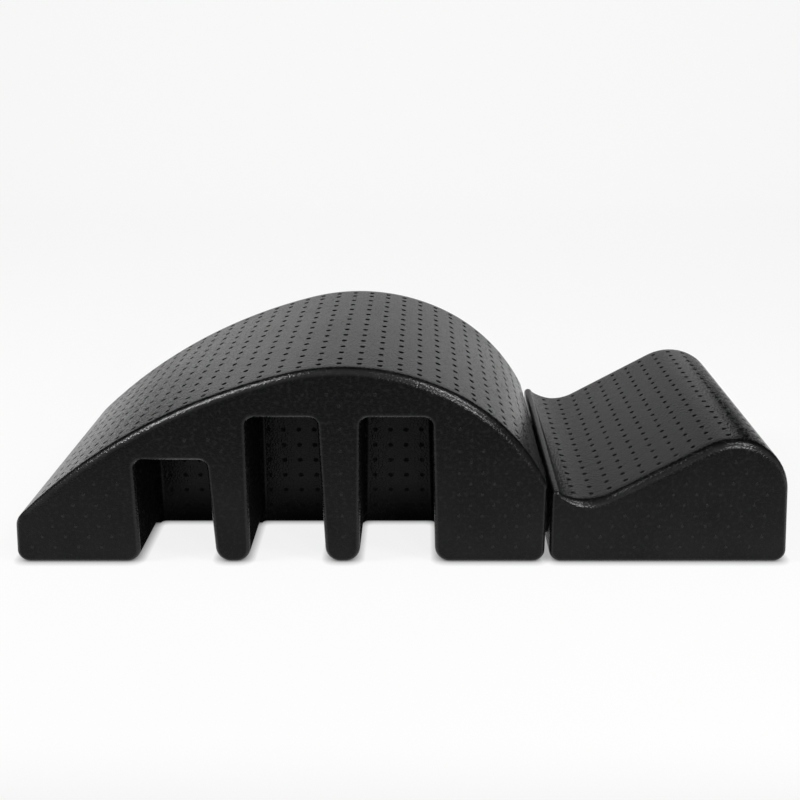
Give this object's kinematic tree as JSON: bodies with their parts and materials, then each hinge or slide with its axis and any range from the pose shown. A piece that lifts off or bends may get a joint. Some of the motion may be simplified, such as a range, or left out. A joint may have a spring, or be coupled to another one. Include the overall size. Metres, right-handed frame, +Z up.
{
  "type": "pilates spine corrector",
  "caption": "Pilates spine corrector in moulded bead foam: an arch block with arm slots in both sides and a separate ramped wedge block held against its steep end by hook-and-loop pads.",
  "frame": {"origin": "middle of the footprint at floor level", "axes": "+X runs along the length from the arch's low end to the wedge, +Y across the width away from the front side, +Z up"},
  "size_m": [0.9398, 0.381, 0.248],
  "materials": {
    "foam": "satin",
    "hook": "matte",
    "loop": "matte"
  },
  "bodies": {
    "arch": {"arch_block": "foam", "hook_pad_front": "hook", "hook_pad_rear": "hook"},
    "wedge": {"wedge_block": "foam", "loop_pad_front": "loop", "loop_pad_rear": "loop"}
  },
  "joints": [
    {"name": "wedge_pull_off", "type": "slide", "parent": "arch", "child": "wedge", "axis": [1, 0, 0], "range_m": [0, 0.15]}
  ]
}
